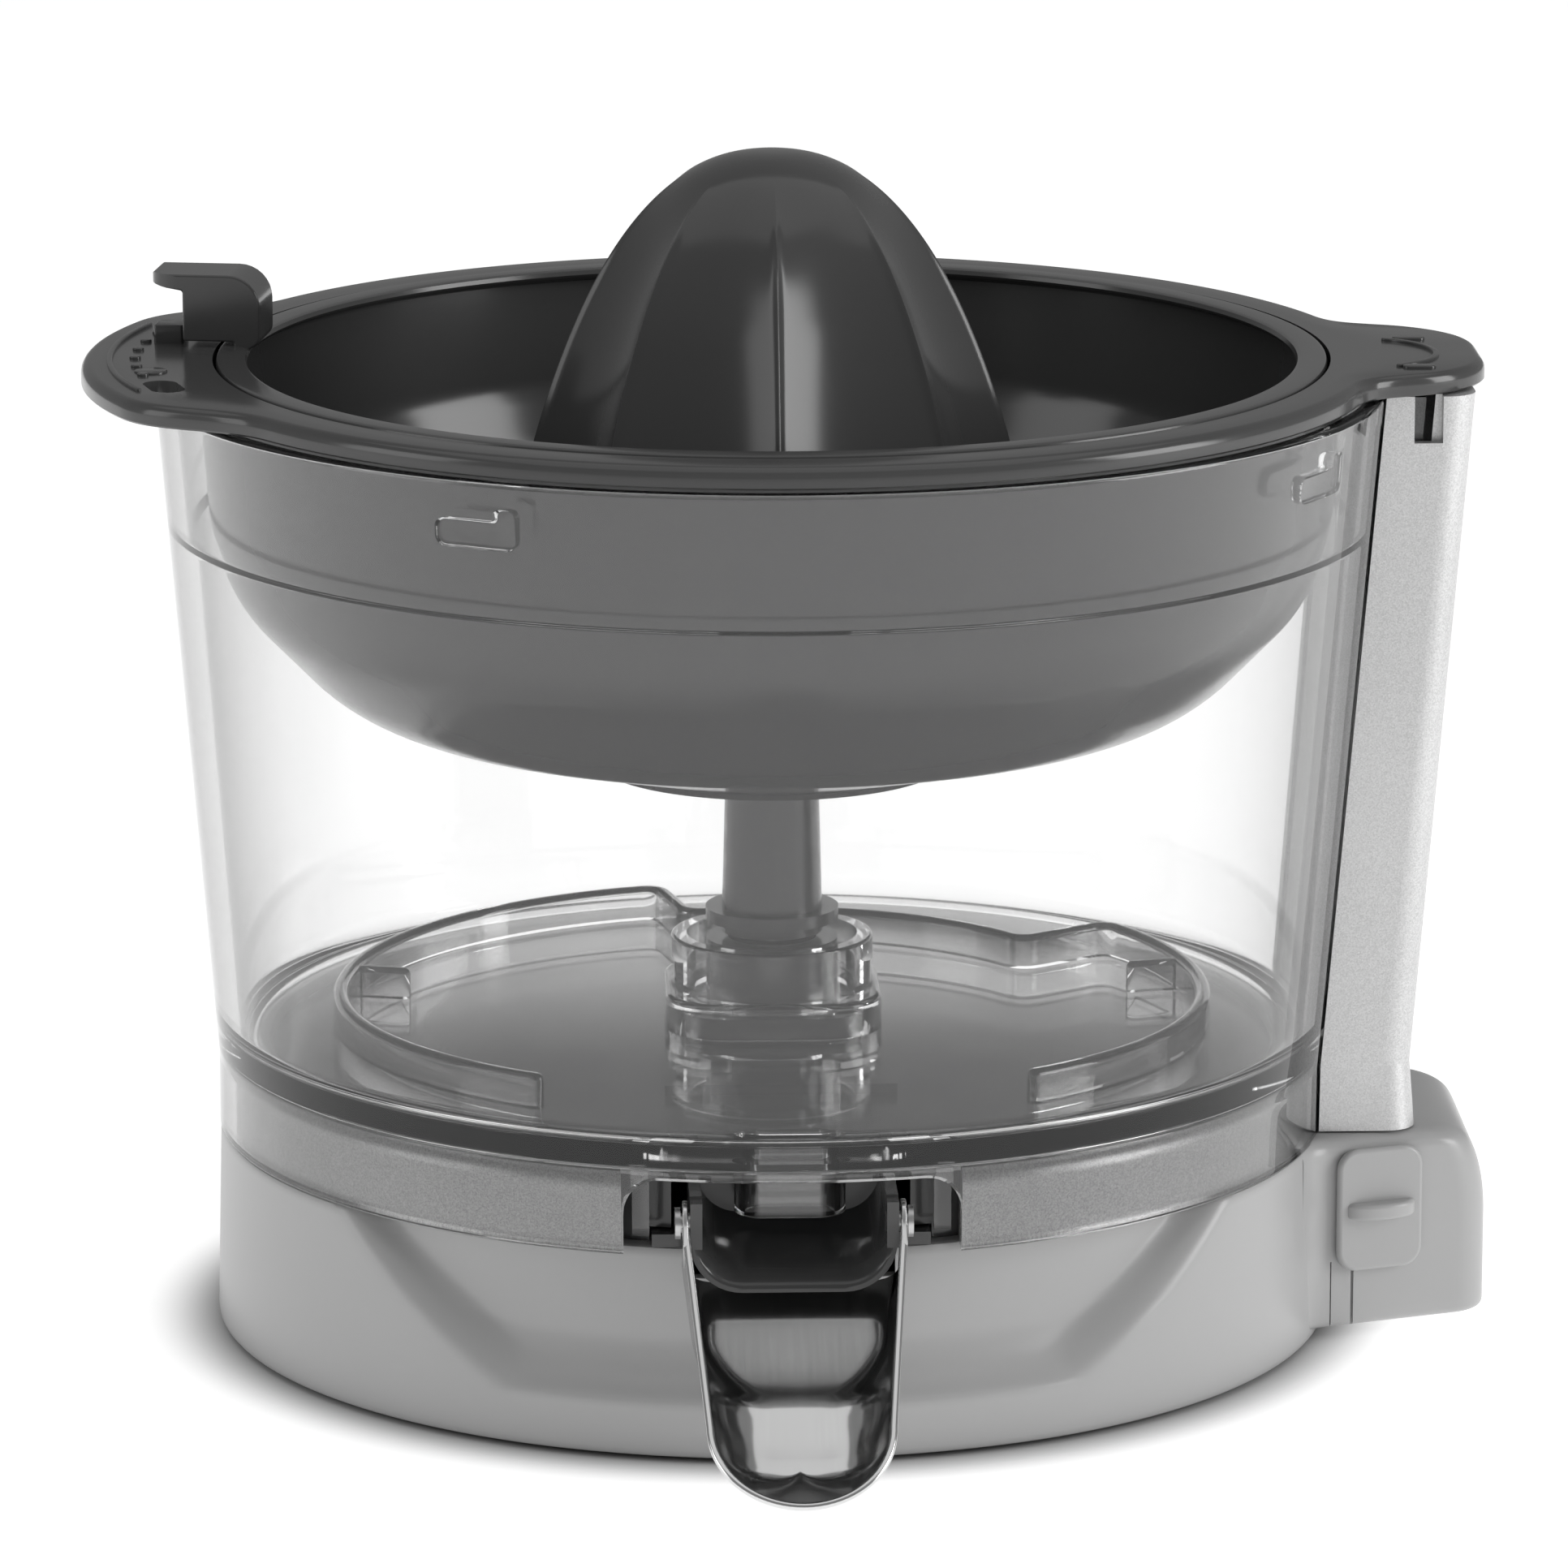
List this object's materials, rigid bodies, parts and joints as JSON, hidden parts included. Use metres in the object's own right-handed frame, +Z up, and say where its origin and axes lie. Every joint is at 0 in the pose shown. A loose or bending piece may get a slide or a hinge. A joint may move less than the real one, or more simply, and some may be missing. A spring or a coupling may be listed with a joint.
{
  "type": "citrus press juicer",
  "caption": "Electric citrus press: fluted cone over a nested strainer in a clear juice container on a round motor base with flip spout and slide switch.",
  "frame": {"origin": "on the drive axis at the table surface, in the middle of the rubber ring that the base stands on", "axes": "+Z up along the drive axis, -Y towards the spout, +X towards the handle column and switch pod"},
  "size_m": [0.2219, 0.2289, 0.1876],
  "materials": {
    "grey_shell": "satin light grey moulded plastic",
    "silver_paint": "silver metallic paint on plastic",
    "dark_plastic": "semi-gloss dark grey plastic",
    "black_plastic": "matt black plastic",
    "foot_rubber": "soft black rubber",
    "screw_steel": "zinc plated and bright steel",
    "gear_brass": "turned bronze and brass",
    "gear_nylon": "natural white nylon",
    "clear_plastic": "clear moulded plastic",
    "polished_steel": "mirror polished steel"
  },
  "bodies": {
    "base": {"base_housing": "grey_shell", "base_trim_ring": "silver_paint", "base_top_cover": "dark_plastic", "bottom_cover": "black_plastic", "anti_slip_ring": "foot_rubber", "base_screws": "screw_steel", "motor_can": "screw_steel", "motor_screws": "screw_steel", "gear_plate": "screw_steel", "gearbox_cover": "black_plastic", "gearbox_screws": "screw_steel", "idler_pin": "screw_steel", "lower_bush": "gear_brass", "upper_bush": "gear_brass", "spindle_seal": "foot_rubber", "outlet_chute": "dark_plastic", "spout_pins": "screw_steel", "switch_pod": "grey_shell", "power_switch": "black_plastic", "cord_gland": "black_plastic"},
    "rotor": {"motor_shaft": "screw_steel", "motor_pinion": "gear_brass"},
    "idler": {"idler_gear": "gear_nylon"},
    "spindle": {"output_gear": "gear_nylon", "output_shaft": "screw_steel", "drive_sleeve": "dark_plastic"},
    "vessel": {"juice_vessel": "clear_plastic", "handle_column": "silver_paint"},
    "strainer": {"strainer_bowl": "dark_plastic"},
    "basket": {"pulp_basket": "dark_plastic"},
    "cone_seat": {"thrust_washer": "gear_nylon"},
    "cone": {"reamer_cone": "dark_plastic"},
    "spout": {"spout_trough": "polished_steel"},
    "slider": {"switch_slider": "grey_shell"}
  },
  "joints": [
    {"name": "spindle_spin", "type": "hinge", "parent": "base", "child": "spindle", "pos_m": [0, 0, 0.04], "axis": [0, 0, 1], "continuous": true},
    {"name": "idler_spin", "type": "hinge", "parent": "base", "child": "idler", "pos_m": [0, 0.03, 0.03], "axis": [0, 0, 1], "continuous": true},
    {"name": "rotor_spin", "type": "hinge", "parent": "base", "child": "rotor", "pos_m": [0, 0.054, 0.02], "axis": [0, 0, 1], "continuous": true},
    {"name": "vessel_lift", "type": "slide", "parent": "base", "child": "vessel", "axis": [0, 0, 1], "range_m": [0, 0.11]},
    {"name": "collar_turn", "type": "hinge", "parent": "vessel", "child": "strainer", "pos_m": [0, 0, 0.15], "axis": [0, 0, 1], "range_deg": [0, 8]},
    {"name": "pulp_turn", "type": "hinge", "parent": "strainer", "child": "basket", "pos_m": [0, 0, 0.15], "axis": [0, 0, 1], "range_deg": [0, 24]},
    {"name": "cone_lift", "type": "slide", "parent": "vessel", "child": "cone_seat", "axis": [0, 0, 1], "range_m": [0, 0.06]},
    {"name": "cone_spin", "type": "hinge", "parent": "cone_seat", "child": "cone", "pos_m": [0, 0, 0.12], "axis": [0, 0, 1], "continuous": true},
    {"name": "spout_flip", "type": "hinge", "parent": "base", "child": "spout", "pos_m": [0, -0.0906, 0.0389], "axis": [-1, 0, 0], "range_deg": [0, 65]},
    {"name": "switch_slide", "type": "slide", "parent": "base", "child": "slider", "axis": [0, 0, 1], "range_m": [-0.005, 0]}
  ],
  "couplings": [
    {"joint": "idler_spin", "follows": "spindle_spin", "ratio": -4},
    {"joint": "rotor_spin", "follows": "spindle_spin", "ratio": 16},
    {"joint": "cone_spin", "follows": "spindle_spin", "ratio": 1}
  ]
}
